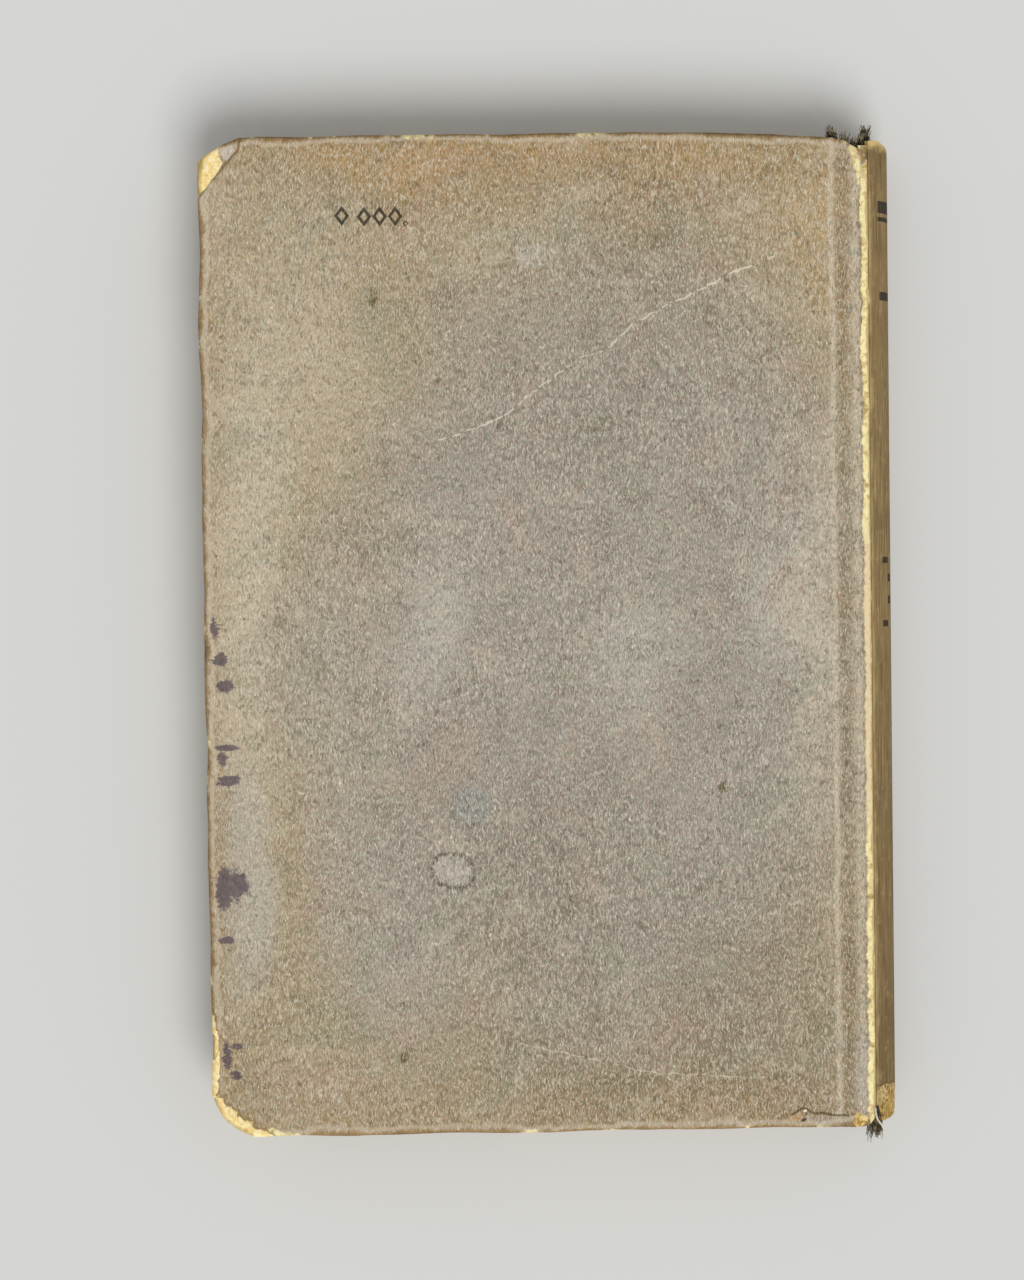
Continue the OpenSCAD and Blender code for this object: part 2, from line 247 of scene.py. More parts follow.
def dress(material, *nodes):
    """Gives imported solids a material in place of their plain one."""
    for node in nodes:
        frame["nodes"][node].data.materials.clear()
        frame["nodes"][node].data.materials.append(material)


linen_thread, place = new_material("undyed linen thread", 0.8, 0.2)
twist = add(linen_thread, "TexNoise", {"Vector": place, "Scale": 4, "Detail": 2})
surface(linen_thread, tint(linen_thread, thread_colour, thread_soiled, twist, 0.4, 0.8), twist, 0.1)
dress(linen_thread, "sewing_thread")

# The lining cloth over the folds, and its flanges on the boards.
# Coarse open-weave cotton, dark with glue and dust, glued over the folds and on to both boards.
# The weave is drawn with threads 0.8 mm apart, as such cloth has, the gaps between them in shade.
weave_step = 0.8
head_y = book_high.y
cloth_colour = "#6b6655"
cloth_dark = "#2e2b22"
lining_cloth, place = new_material("glued open-weave cotton", 0.95, 0.1)
apart = add(lining_cloth, "SeparateXYZ", (place,)).node.outputs
warp, weft = [add(lining_cloth, "Math", (apart[axis], weave_step / 2), operation="PINGPONG")
              for axis in "XY"]
weave = add(lining_cloth, "Math", (warp, weft), operation="MINIMUM")
surface(lining_cloth, tint(lining_cloth, cloth_dark, cloth_colour, weave, 0.22, 0.08), weave, 0.15)
dress(lining_cloth, "spine_lining_cloth")

# The covers' head is worn down towards the spine, and in two steps across the joint: where each step
# starts, its width and its drop. The flanges follow it, and their open ends fray.
head_sag = 0.8 * mm
joint_steps = ((58.5 * mm, 2 * mm, 0.8 * mm), (61.2 * mm, 3.4 * mm, 1.6 * mm))
frayed_length = 6 * mm
fray_size = 1.5 * mm


def head_drop(p):
    """How far the covers' head is worn down at a place."""
    near_joint = min(1, max(0, (p.x - 25 * mm) / (32 * mm)))
    drop = head_sag * near_joint * near_joint
    for step_x, step_width, step_drop in joint_steps:
        along_step = min(1, max(0, (p.x - step_x) / step_width))
        drop += step_drop * along_step * along_step * (3 - 2 * along_step)
    return drop * max(0, p.y / head_y) ** 3


for side in ("front", "back"):
    flange = copy_node(side + "_lining_flange", side + "_lining_cloth_in_the_joint")
    low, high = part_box(side + "_lining_flange")
    cut_across(flange, Y, between(low.y, high.y, fray_size))
    cut_across(flange, X, between(low.x, high.x, fray_size))
    for vertex in flange.data.vertices:
        vertex.co.y -= head_drop(vertex.co)
    frayed_ends = weigh(flange, "ends", lambda p: (abs(p.y) - (head_y - frayed_length)) / (frayed_length / 2))
    unsettle(flange, "Y", fray_size, (fray_size, fray_size, fray_size), frayed_ends)
    smooth(flange)
    flange.data.materials.append(lining_cloth)
    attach(flange, side + "_cover")

# The headbands.
# A cotton bead on the edge of the leaves at head and tail, on a tape glued down the folds.
# The bead is wound with thread in plain bands of two close tones, 0.9 mm apart, and is soiled.
band_step = 0.9
band_light = "#b5aa8c"
band_dark = "#776b50"
band_cloth, place = new_material("wound cotton headband", 0.9, 0.15)
apart = add(band_cloth, "SeparateXYZ", (place,)).node.outputs
winding = add(band_cloth, "Math", (apart["Z"], band_step / 2), operation="PINGPONG")
surface(band_cloth, tint(band_cloth, band_dark, band_light, winding, 0.1, 0.35), winding, 0.12)
dress(band_cloth, "head_band", "tail_band")

# The endpapers.
# One folded sheet at each end of the block: a free leaf, and a leaf pasted down on the cover.
# Plain paper gone tan, darker along its borders, with a few small brown spots of age. Matt.
endpaper_colour = "#cfc096"
endpaper_toned = "#b39c6c"
endpaper_spot = "#8a6a3a"
endpaper, place = new_material("aged endpaper", 0.93, 0.12)
clouds = add(endpaper, "TexNoise", {"Vector": place, "Scale": 1 / 20, "Detail": 5})
grain = add(endpaper, "TexNoise", {"Vector": place, "Scale": 2.5, "Detail": 3})
off_middle = add(endpaper, "Math", (add(endpaper, "SeparateXYZ", (place,), "Y"),), operation="ABSOLUTE")
spots = add(endpaper, "TexVoronoi", {"Vector": place, "Scale": 1 / 11})
colour = tint(endpaper, endpaper_colour, endpaper_toned, clouds, 0.35, 0.75, 0.4)
colour = tint(endpaper, colour, endpaper_toned, off_middle, block_high.y / mm - 14, block_high.y / mm, 0.7)
colour = tint(endpaper, colour, endpaper_spot, spots, 0.1, 0.05, 0.5)
surface(endpaper, colour, grain, 0.05)
dress(endpaper, "front_flyleaf", "back_flyleaf", "front_pastedown", "back_pastedown")

# The boards.
# Strawboard: chopped straw pressed wet into sheets and cut to size, pasted inside the covering paper.
# Bright yellow and flecked where the paper is rubbed away, and matt.
fore_x = book_low.x
hinge = {joint["child"]: Vector(joint["pos_m"]) for joint in frame["joints"]}
hinge_x = hinge["back_cover"].x
strip_end_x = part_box("back_cover_paper")[1].x
board_back_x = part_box("back_board")[1].x
outer_face = {"front": book_low.z, "back": book_high.z}
straw_colour = "#f3d68f"
straw_pale = "#ffedb8"
straw_dark = "#a8802f"
straw_soiled = "#b08c46"
fine_step = 0.6 * mm
coarse_step = 4 * mm
fine_width = 5 * mm
joint_corner_r = 3 * mm
held_width = 20 * mm
face_depth = 1.2 * mm
# How far a cover's outline wanders and is nibbled, and how far its face waves.
outline_wander = 1.2 * mm
outline_nibble = 0.35 * mm
face_wave = 0.5 * mm
# The worn fore corners: how far each runs across and along the cover, how far it is flattened towards a
# straight cut, and how far in the fore edge is worn.
corner_sizes = {
    "front": {"head": (8 * mm, 8 * mm), "tail": (8 * mm, 8 * mm)},
    "back": {"head": (8.5 * mm, 5 * mm), "tail": (8.3 * mm, 8.3 * mm)}}
corner_flats = {"front": {"head": 0.75, "tail": 0.75}, "back": {"head": 0.85, "tail": 0.4}}
fore_inset = {"front": 0.5 * mm, "back": 0}

strawboard, place = new_material("strawboard", 0.9, 0.15)
chopped = add(strawboard, "TexNoise", {
    "Vector": add(strawboard, "Mapping", {0: place, "Scale": (1.6, 0.9, 2.5)}), "Scale": 1, "Detail": 5})
fleck = add(strawboard, "TexNoise", {"Vector": place, "Scale": 1.1, "Detail": 4, "Roughness": 0.75})
colour = tint(strawboard, straw_colour, straw_pale, chopped, 0.42, 0.6)
colour = tint(strawboard, colour, straw_dark, fleck, 0.54, 0.72, 0.8)
straw_inward = add(strawboard, "Attribute", out="Fac", attribute_name="inward")
colour = tint(strawboard, colour, straw_soiled, straw_inward, 1.4, 0.1, 0.7)
surface(strawboard, colour, chopped, 0.25)


def measure_inward(piece, side):
    """Keeps, at each point, how far in from the cover's worn outline it lies, in millimetres."""
    inward = piece.data.attributes.new("inward", "FLOAT", "POINT")
    for vertex, value in zip(piece.data.vertices, inward.data):
        p = vertex.co
        from_side, from_end, from_strip = p.x - fore_x, head_y - abs(p.y), strip_end_x - p.x
        across, along = corner_sizes[side]["head" if p.y > 0 else "tail"]
        if from_strip < joint_corner_r:
            from_side, across, along = from_strip, joint_corner_r, joint_corner_r
        if from_side < across and from_end < along:
            round_corner = math.hypot(1 - from_side / across, 1 - from_end / along)
            value.value = (1 - round_corner) * min(across, along) / mm
        else:
            value.value = (from_end if from_strip < joint_corner_r else min(from_side, from_end)) / mm


def blunt_outline(piece, side):
    """Wears the fore corners down towards a straight cut, and the head down near the joint."""
    for vertex in piece.data.vertices:
        p = vertex.co
        end = "head" if p.y > 0 else "tail"
        across, along = corner_sizes[side][end]
        u, v = 1 - (p.x - fore_x) / across, 1 - (head_y - abs(p.y)) / along
        if u > 0 and v > 0:
            reach = math.hypot(u, v)
            kept = 1 - corner_flats[side][end] * min(1, reach * reach) * (1 - reach / (u + v))
            p.x = fore_x + across * (1 - u * kept)
            p.y = math.copysign(head_y - along * (1 - v * kept), p.y)
        p.x += fore_inset[side] * min(1, max(0, (board_back_x - p.x) / held_width))
        p.y -= head_drop(p)


def wear_cover_layer(piece, side):
    """Cuts a cover's layer into small faces, and lets its worn outline and its face wander.

    The outline wanders in X only away from the hinge, where the cover is held.
    """
    cut_across(piece, X, between(fore_x, fore_x + fine_width, fine_step))
    cut_across(piece, X, between(fore_x + fine_width, board_back_x, coarse_step))
    cut_across(piece, Y, between(-head_y, fine_width - head_y, fine_step))
    cut_across(piece, Y, between(fine_width - head_y, head_y - fine_width, coarse_step))
    cut_across(piece, Y, between(head_y - fine_width, head_y, fine_step))
    measure_inward(piece, side)
    blunt_outline(piece, side)
    outline = weigh(piece, "away from the hinge", lambda p: (board_back_x - p.x) / held_width)
    face = weigh(piece, "outer face", lambda p: 1 - abs(p.z - outer_face[side]) / face_depth)
    unsettle(piece, "X", outline_wander, (18 * mm, 18 * mm, 18 * mm), outline, 0.3)
    unsettle(piece, "Y", outline_wander, (22 * mm, 22 * mm, 22 * mm))
    unsettle(piece, "X", outline_nibble, (2.2 * mm, 2.2 * mm, 2.2 * mm), outline)
    unsettle(piece, "Y", outline_nibble, (2.6 * mm, 2.6 * mm, 2.6 * mm))
    unsettle(piece, "Z", face_wave, (30 * mm, 30 * mm, 30 * mm), face)
    smooth(piece)


for side in ("front", "back"):
    board = copy_node(side + "_board", side + "_strawboard")
    wear_cover_layer(board, side)
    board.data.materials.append(strawboard)
    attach(board, side + "_cover")

# The covering paper of both covers.
# Thick soft paper full of short fibres, pasted over the boards, turned in, and pressed into the joint.
# Faded to grey in the middle, gone brown towards its edges, rubbed pale on every arris.
paper_grey = "#9a9388"
paper_tan = "#a8936c"
paper_ochre = "#98794a"
paper_pale = "#cdc0a8"
paper_silver = "#bab7ad"
paper_olive = "#85805c"
paper_rose = "#a98a78"
paper_green = "#8b907c"
paper_shade = "#776b58"
paper_inside = "#8d7854"
paper_rubbed_grey = "#b3a79b"
paper_neutral = "#9c9a95"
paper_orange = "#c39c66"
paper_ridged = "#94794b"
fibre_light = "#e2d8c3"
fibre_bright = "#f6f0de"
fibre_dark = "#5f5340"
edge_brown = "#8a6630"
edge_dirt_and_shadow = "#46361d"
rubbed_pulp = "#fff2b4"
faded_pulp = "#e9d3ab"
strip_tan = "#b99a68"
groove_shade = "#75613d"
ink = "#4c4050"
print_ink_and_hole_shade = "#2a2521"
stain_blue = "#7f8684"
stain_grey = "#57524a"
stain_light = "#cdc7bd"
stain_olive = "#5c5226"

# Soft fields of colour over the cover, as dye, centre, half axes and strength, in millimetres.
fields = (
    (paper_pale, (-66, 8), (14, 62), 0.75), (paper_pale, (-52, 58), (20, 34), 0.4),
    (paper_silver, (18, -5), (12, 16), 0.5), (paper_silver, (-27, 2), (10, 20), 0.55),
    (paper_silver, (50, 8), (14, 22), 0.5), (paper_silver, (-66, -52), (9, 32), 0.6),
    (paper_ochre, (-20, 98), (34, 12), 0.7), (paper_ochre, (20, 96), (24, 14), 0.6),
    (paper_ochre, (50, 99), (18, 9), 0.5), (paper_ochre, (28, -97), (34, 10), 0.6),
    (paper_olive, (-50, -80), (11, 10), 0.35), (paper_rose, (-50, -96), (11, 9), 0.3),
    (paper_shade, (-6, -54), (44, 34), 0.35), (paper_shade, (12, 50), (40, 26), 0.2),
    (paper_shade, (14, -93), (66, 18), 0.42),
    (paper_shade, (44, -74), (24, 32), 0.4), (paper_shade, (24, 76), (24, 18), 0.35),
    (paper_neutral, (-36, -62), (20, 34), 0.55), (paper_neutral, (-46, -12), (16, 44), 0.45),
    (paper_orange, (-8, 101), (66, 8), 0.5), (paper_orange, (58, 86), (9, 22), 0.4),
    (paper_pale, (57, 4), (7, 50), 0.5), (paper_pale, (-68, 84), (7, 11), 0.6),
    (faded_pulp, (61, 99), (6, 4), 0.4))
# Marks on the back cover: ovals as centre, half axes and turn, and lines as the points that they join.
ink_blots = (
    ((-69.6, 2.4), (0.9, 2.2)), ((-68.4, -4.0), (1.6, 1.4)), ((-67.4, -9.5), (2.0, 1.3)),
    ((-67.4, -22.3), (3.0, 0.7)), ((-68.3, -24.6), (1.0, 1.6)), ((-67.2, -29.2), (2.8, 1.1)),
    ((-68.3, -51.4), (1.9, 4.8)), ((-66.0, -51.0), (3.0, 3.0)), ((-67.9, -62.2), (1.7, 0.8)),
    ((-66.3, -84.4), (1.6, 0.7)), ((-68.2, -86.6), (0.9, 3.0)), ((-66.6, -90.4), (1.4, 1.0), -20))
olive_spots = (
    ((-35.8, 70.1), (1.1, 2.4)), ((-31.5, -87.2), (1.0, 1.5)), ((35.5, -32.2), (1.2, 1.3)),
    ((-22.9, 52.7), (0.5, 1.0)))
printed_lozenges = (
    ((-42.0, 87.0), (1.5, 2.0)), ((-37.4, 86.8), (1.5, 2.0)), ((-34.2, 86.8), (1.5, 2.0)),
    ((-31.0, 86.8), (1.5, 2.0)), ((-28.9, 85.3), (0.6, 0.6)))
ring_stain = (-21.0, -48.6), (4.7, 3.8), -15
bare_corner = (-70.3, -104.5), (11.5, 12)
bare_edge = (-72.2, -87), (2.2, 11)
torn_chunk = (63.3, -102.2), (1.5, 1.3)
rubbed_spots = (((64.2, 97.6), (0.9, 2.4), 14), ((64.9, 95.0), (0.4, 2.6)))
long_scratch = (
    (47.1, 77.5), (37.2, 74.0), (18.2, 64.4), (11.9, 58.7), (6.5, 57.1), (-5.3, 48.6), (-8.2, 45.8),
    (-22.4, 40.4))
tail_scratch = ((-8.6, -84.4), (19.5, -91.2), (44.5, -92.9))
corner_crease = ((-62.4, 103.0), (-63.6, 100.2), (-68.3, 95.0), (-70.9, 91.4))
flap_crease = ((49.2, -100.6), (51.5, -99.3), (53.4, -100.2), (60.6, -101.1))
# Marks with a dye of their own: dye, centre, half axes, turn, where they end and are full, and strength.
# A blue-grey stain and two pale ones; beside the joint a grey rubbed stretch and the ridged brown paper
# beyond the cover's rounded head corner; at the tail the paler flap and the orange tear beside it.
soft_stains = (
    (stain_blue, (-16.8, -35.1), (5.2, 4.6), 0, (1.1, 0.5), 0.7),
    (stain_light, (-3.3, 78.3), (3.4, 2.6), 20, (1.0, 0.8), 0.35),
    (stain_light, (-65.2, 100.2), (1.9, 1.3), 50, (1.1, 0.6), 0.7))
joint_marks = (
    (paper_rubbed_grey, (64.2, -92.5), (2.0, 10), 0, (1.3, 0.6), 0.6),
    (paper_ridged, (66.6, 98.5), (2.2, 7), 14, (1.1, 0.9), 0.8),
    (paper_rubbed_grey, (56, -102), (5.5, 1.3), -3, (1.1, 0.6), 0.5),
    (paper_orange, (50.0, -101.3), (1.8, 0.8), 20, (1.2, 0.6), 0.7))
# A bright torn end of the flap's crease, and painted shade in the hole under it.
crease_ends = (
    (fibre_bright, (51.9, -99.9), (0.45, 0.35), 0, (1.1, 0.5), 0.85),
    (print_ink_and_hole_shade, (51.6, -101.7), (0.8, 0.4), 20, (1.1, 0.6), 0.8))
# Across the joint, from the board: bands as dye, middle, half width and strength.
strip_from_x = strip_end_x / mm - 1.25
strip_to_x = strip_end_x / mm - 0.3
strip_stops_y = 96
wave_x = board_back_x / mm + 0.2
# The board's rubbed pale arris, painted shade with some dirt in the groove, a paler band on the rise beyond
# it, and a line of painted shadow along the strip's edge.
joint_wear_and_shade_bands = ((paper_pale, wave_x, 1.1, 0.8), (groove_shade, wave_x + 2.0, 1.8, 0.45),
               (paper_pale, wave_x + 4.8, 1.9, 0.6), (groove_shade, strip_from_x - 0.4, 0.4, 0.4))


def fibres(material, place, width, length, turn):
    """Noise drawn out into fibres of about a width and length in millimetres, turned by degrees."""
    laid = add(material, "Mapping", {
        0: place, "Rotation": (0, 0, math.radians(turn)), "Scale": (1 / width, 1 / length, 1 / width)})
    return add(material, "TexNoise", {"Vector": laid, "Scale": 1, "Detail": 1.5, "Roughness": 0.6})


def oval(material, place, centre, radii, turn=0.0):
    """How far a place lies from a centre, in shares of an oval's half axes."""
    turned_x, turned_y = math.cos(math.radians(turn)), math.sin(math.radians(turn))
    axes = (turned_x / radii[0], turned_y / radii[0], 0), (-turned_y / radii[1], turned_x / radii[1], 0)
    if turn:
        laid = add(material, "CombineXYZ", [
            add(material, "VectorMath", (place, axis), "Value", operation="DOT_PRODUCT") for axis in axes])
    else:
        laid = add(material, "VectorMath", (place, (1 / radii[0], 1 / radii[1], 0)), operation="MULTIPLY")
    middle = [axis[0] * centre[0] + axis[1] * centre[1] for axis in axes]
    return add(material, "VectorMath", (laid, (*middle, 0)), "Value", operation="DISTANCE")


def marked(material, colour, place, marks):
    """Lays small oval marks over a colour, each with its own dye, place, levels and strength."""
    for dye, centre, radii, turn, (none_at, full_at), strength in marks:
        inside = oval(material, place, centre, radii, turn)
        colour = tint(material, colour, dye, inside, none_at, full_at, strength)
    return colour


def nearest(material, distances):
    """The least of several distances."""
    least = distances[0]
    for distance in distances[1:]:
        least = add(material, "Math", (least, distance), operation="MINIMUM")
    return least


def scratch(material, place, points, width):
    """How far a place lies from a line through points, in shares of the line's half width."""
    flat = add(material, "VectorMath", (place, (1, 1, 0)), operation="MULTIPLY")
    parts = []
    for start, end in zip(points, points[1:]):
        way = Vector(end) - Vector(start)
        arm = add(material, "VectorMath", (flat, (*start, 0)), operation="SUBTRACT")
        step = (*(way / way.length_squared), 0)
        share = add(material, "VectorMath", (arm, step), "Value", operation="DOT_PRODUCT")
        share = add(material, "Math", (share, 0), operation="ADD", use_clamp=True)
        foot = add(material, "VectorMath", {0: (*way, 0), "Scale": share}, operation="SCALE")
        parts.append(add(material, "VectorMath", (arm, foot), "Value", operation="DISTANCE"))
    return add(material, "Math", (nearest(material, parts), width / 2), operation="DIVIDE")


def off(material, value, middle):
    """How far a value lies from a middle, either way."""
    past = add(material, "Math", (value, middle), operation="SUBTRACT")
    return add(material, "Math", (past,), operation="ABSOLUTE")


def beyond(material, value, level):
    """How far a value lies beyond a level, and nothing short of it."""
    past = add(material, "Math", (value, level), operation="SUBTRACT")
    return add(material, "Math", (past, 0), operation="MAXIMUM")


def swayed(material, value, noise, reach):
    """A value moved either way by noise, at most by about half a reach."""
    centred = add(material, "Math", (noise, 0.5), operation="SUBTRACT")
    return add(material, "Math", (centred, reach, value), operation="MULTIPLY_ADD")


def drifted(material, place, size, reach, detail):
    """A place moved about by noise of a size, at most by about half a reach, in millimetres."""
    drift = add(material, "TexNoise", {"Vector": place, "Scale": 1 / size, "Detail": detail}, "Color")
    drift = add(material, "SeparateColor", (drift,)).node.outputs
    drift = add(material, "CombineXYZ", (drift["Red"], drift["Green"], drift["Blue"]))
    centred = add(material, "VectorMath", (drift, (0.5, 0.5, 0.5)), operation="SUBTRACT")
    return add(material, "VectorMath", (centred, (reach, reach, 0), place), operation="MULTIPLY_ADD")


for side in ("front", "back"):
    paper, place = new_material(side + " cover's fibrous covering paper", 0.93, 0.12)
    apart = add(paper, "SeparateXYZ", (place,)).node.outputs
    inward = add(paper, "Attribute", out="Fac", attribute_name="inward")
    flow = drifted(paper, place, 28, 26, 2)
    curled = drifted(paper, place, 2.6, 1.4, 1)
    bent = drifted(paper, place, 4, 1, 1)
    mottle = add(paper, "TexNoise", {"Vector": flow, "Scale": 1 / 7, "Detail": 3, "Roughness": 0.6})
    speckle = add(paper, "TexNoise", {"Vector": curled, "Scale": 1 / 1.8, "Detail": 3, "Roughness": 0.65})
    along = add(paper, "TexNoise", {
        "Vector": add(paper, "Mapping", {0: place, "Scale": (1 / 9, 1 / 9, 0)}), "Scale": 1, "Detail": 3,
        "Roughness": 0.7})

    # Faded and toned fields, an ochre border, and the joint's bands of wear and painted shade.
    colour = tint(paper, paper_grey, paper_tan, oval(paper, flow, (12, -4), (60, 92)), 0.62, 1.15, 0.85)
    for dye, centre, radii, strength in fields:
        colour = tint(paper, colour, dye, oval(paper, flow, centre, radii), 1.2, 0.2, strength)
    hue = add(paper, "TexNoise", {"Vector": flow, "Scale": 1 / 15, "Detail": 2})
    colour = tint(paper, colour, paper_rose, hue, 0.54, 0.72, 0.3)
    colour = tint(paper, colour, paper_green, hue, 0.46, 0.28, 0.35)
    rubbed = swayed(paper, inward, along, 4)
    colour = tint(paper, colour, paper_ochre, inward, 11, 0, 0.35)
    colour = tint(paper, colour, paper_ochre, rubbed, 4, 1, 0.25)
    sway = swayed(paper, apart["X"], along, 1.6)
    # Bands across the joint: wear, painted shade in the groove, and a painted shadow line along the strip's
    # edge.
    for dye, middle_x, half_width, strength in joint_wear_and_shade_bands:
        colour = tint(paper, colour, dye, off(paper, sway, middle_x), half_width, 0, strength)

    if side == "back":
        # Small stains and olive spots, one of the stains with a dark border, and the marks by the joint.
        spots = nearest(paper, [oval(paper, curled, *spot) for spot in olive_spots])
        colour = tint(paper, colour, stain_olive, spots, 1.2, 0.5, 0.9)
        ring = oval(paper, curled, *ring_stain)
        colour = tint(paper, colour, stain_light, ring, 1.0, 0.7, 0.35)
        colour = tint(paper, colour, stain_grey, off(paper, ring, 0.95), 0.16, 0.04, 0.9)
        colour = marked(paper, colour, curled, soft_stains)
        colour = marked(paper, colour, bent, joint_marks)

    # Soft mottle, and the fibres.
    colour = tint(paper, colour, fibre_dark, mottle, 0.46, 0.3, 0.3)
    colour = tint(paper, colour, paper_pale, mottle, 0.54, 0.72, 0.3)
    colour = tint(paper, colour, fibre_dark, speckle, 0.48, 0.34, 0.4)
    colour = tint(paper, colour, paper_pale, speckle, 0.54, 0.7, 0.25)
    flecks = add(paper, "TexNoise", {"Vector": curled, "Scale": 1 / 1.2, "Detail": 2})
    colour = tint(paper, colour, paper_rose, flecks, 0.54, 0.68, 0.4)
    colour = tint(paper, colour, paper_green, flecks, 0.46, 0.32, 0.4)
    upright, right_lean, left_lean = [fibres(paper, curled, 0.28, 0.95, turn) for turn in (4, 32, -29)]
    sunk = add(paper, "Math", (upright, right_lean), operation="MINIMUM")
    raised = add(paper, "Math", (upright, add(paper, "Math", (right_lean, left_lean), operation="MAXIMUM")),
                 operation="MAXIMUM")
    colour = tint(paper, colour, fibre_dark, sunk, 0.42, 0.25, 0.68)
    colour = tint(paper, colour, fibre_light, raised, 0.53, 0.73, 0.6)
    colour = tint(paper, colour, fibre_bright, raised, 0.73, 0.8, 0.75)

    # Along the outline a pale arris and a dark rim of dirt and painted shade, and pulp where the paper is
    # rubbed through.
    colour = tint(paper, colour, paper_pale, off(paper, rubbed, 1.3), 0.9, 0, 0.5)
    colour = tint(paper, colour, edge_brown, rubbed, 0.9, 0.2, 0.55)
    # A dark rim of dirt and painted shade along the turned-in edge.
    colour = tint(paper, colour, edge_dirt_and_shadow, rubbed, 0.3, -0.5, 0.5)
    pulp = tint(paper, straw_dark, rubbed_pulp, speckle, 0.3, 0.6)
    pulp = tint(paper, pulp, rubbed_pulp, along, 0.35, 0.55, 0.7)
    pulp = tint(paper, pulp, paper_orange, flecks, 0.52, 0.68, 0.6)
    worn = swayed(paper, inward, along, -12)
    colour = tint(paper, colour, pulp, worn, -0.4, -1.2, 0.75)
    faded = oval(paper, place, (strip_end_x / mm, -10), (30, 34))
    pulp = tint(paper, pulp, faded_pulp, faded, 1.1, 0.7, 0.8)
    past_stop = beyond(paper, apart["Y"], strip_stops_y)
    strip_x = swayed(paper, sway, speckle, 1.2)
    strip_x = add(paper, "Math", (past_stop, -0.8, strip_x), operation="MULTIPLY_ADD")
    colour = tint(paper, colour, pulp, strip_x, strip_from_x - 0.25, strip_from_x + 0.15, 0.95)
    colour = tint(paper, colour, strip_tan, strip_x, strip_to_x - 0.1, strip_to_x + 0.25, 0.75)

    if side == "back":
        # Ink at the fore edge, drawn sideways along the fibres.
        feather = add(paper, "TexNoise", {
            "Vector": add(paper, "Mapping", {0: place, "Scale": (0.5, 2, 0)}), "Scale": 1, "Detail": 2})
        drawn_x = swayed(paper, apart["X"], feather, 2.6)
        feathered = add(paper, "CombineXYZ", (drawn_x, apart["Y"], apart["Z"]))
        blots = nearest(paper, [oval(paper, feathered, *blot) for blot in ink_blots])
        colour = tint(paper, colour, ink, swayed(paper, blots, speckle, 1.3), 1.15, 0.75, 0.75)
        # Scratches, pale where the fibres are torn up, and painted shade in the crease across the bent
        # corner.
        missed = add(paper, "Math", (speckle, 0.47), operation="LESS_THAN")
        for points, width, strength in ((long_scratch, 0.5, 0.75), (tail_scratch, 0.4, 0.45)):
            line = scratch(paper, curled, points, width)
            line = add(paper, "Math", (missed, 9, line), operation="MULTIPLY_ADD")
            colour = tint(paper, colour, fibre_light, line, 1.1, 0.2, strength)
        # Painted shade in the crease across the bent corner.
        colour = tint(paper, colour, groove_shade, scratch(paper, bent, corner_crease, 0.7), 1.2, 0.3, 0.8)
        # The fore corner and edge at the tail, bare to the board, and the head corner at the joint.
        corner = oval(paper, bent, *bare_corner)
        corner = add(paper, "Math", (inward, 0.14, corner), operation="MULTIPLY_ADD")
        corner = nearest(paper, [corner, oval(paper, bent, *bare_edge)])
        corner = swayed(paper, corner, speckle, 0.7)
        colour = tint(paper, colour, edge_brown, off(paper, corner, 1.08), 0.12, 0, 0.55)
        bared = tint(paper, straw_colour, straw_pale, flecks, 0.42, 0.56)
        colour = tint(paper, colour, bared, corner, 1.03, 0.97, 0.95)
        bright = nearest(paper, [oval(paper, bent, *spot) for spot in rubbed_spots])
        colour = tint(paper, colour, pulp, swayed(paper, bright, speckle, 1.8), 1.15, 0.75, 0.85)
        # Painted shadow in the crease of the lifted flap at the tail, with a torn end, and a chunk of board
        # showing at the corner.
        colour = tint(paper, colour, edge_dirt_and_shadow, scratch(paper, bent, flap_crease, 0.65), 1.2, 0.3, 0.7)
        # The crease's bright torn end, and painted shade in the hole under it.
        colour = marked(paper, colour, bent, crease_ends)
        chunk = swayed(paper, oval(paper, curled, *torn_chunk), speckle, 1.6)
        chunk_colour = tint(paper, straw_dark, straw_colour, flecks, 0.36, 0.58)
        colour = tint(paper, colour, chunk_colour, chunk, 1.1, 0.85, 0.9)
        # A row of printed lozenges, in outline.
        for centre, radii in printed_lozenges:
            inside = add(paper, "VectorMath", (place, (*centre, 0)), operation="SUBTRACT")
            inside = add(paper, "VectorMath", (inside,), operation="ABSOLUTE")
            lozenge = add(paper, "VectorMath", (inside, (1 / radii[0], 1 / radii[1], 0)), "Value",
                          operation="DOT_PRODUCT")
            colour = tint(paper, colour, print_ink_and_hole_shade, off(paper, lozenge, 0.78), 0.3, 0.2, 0.85)

    # The paper turned in behind the board has not faded.
    depth = off(paper, apart["Z"], outer_face[side] / mm)
    colour = tint(paper, colour, paper_inside, depth, 1.6, 2.1, 0.9)
    surface(paper, colour, upright, 0.2)

    cover = copy_node(side + "_cover_paper", side + "_covering_paper")
    wear_cover_layer(cover, side)
    cover.data.materials.append(paper)
    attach(cover, side + "_cover")

# The card in the spine.
# The same straw pulp in a thin sheet, bent round, loose behind the sewn folds.
# In the tear at the tail it is bare, split into flakes and soiled to a dull ochre.
card_colour = "#c8a45c"
card_pale = "#ecd193"
card_dark = "#7d6030"
spine_head_worn = 2.0 * mm
spine_tail_worn = 1.0 * mm
spine_end_length = 14 * mm
spine_fray_length = 5 * mm
spine_fray = 1.2 * mm


def split_card(material, place):
    """Noise split into flakes of about a millimetre, as torn card shows them."""
    laid = add(material, "Mapping", {0: place, "Scale": (1.1, 0.6, 1.1)})
    return add(material, "TexNoise", {
        "Vector": laid, "Scale": 1, "Detail": 5, "Roughness": 0.65, "Distortion": 1.5})


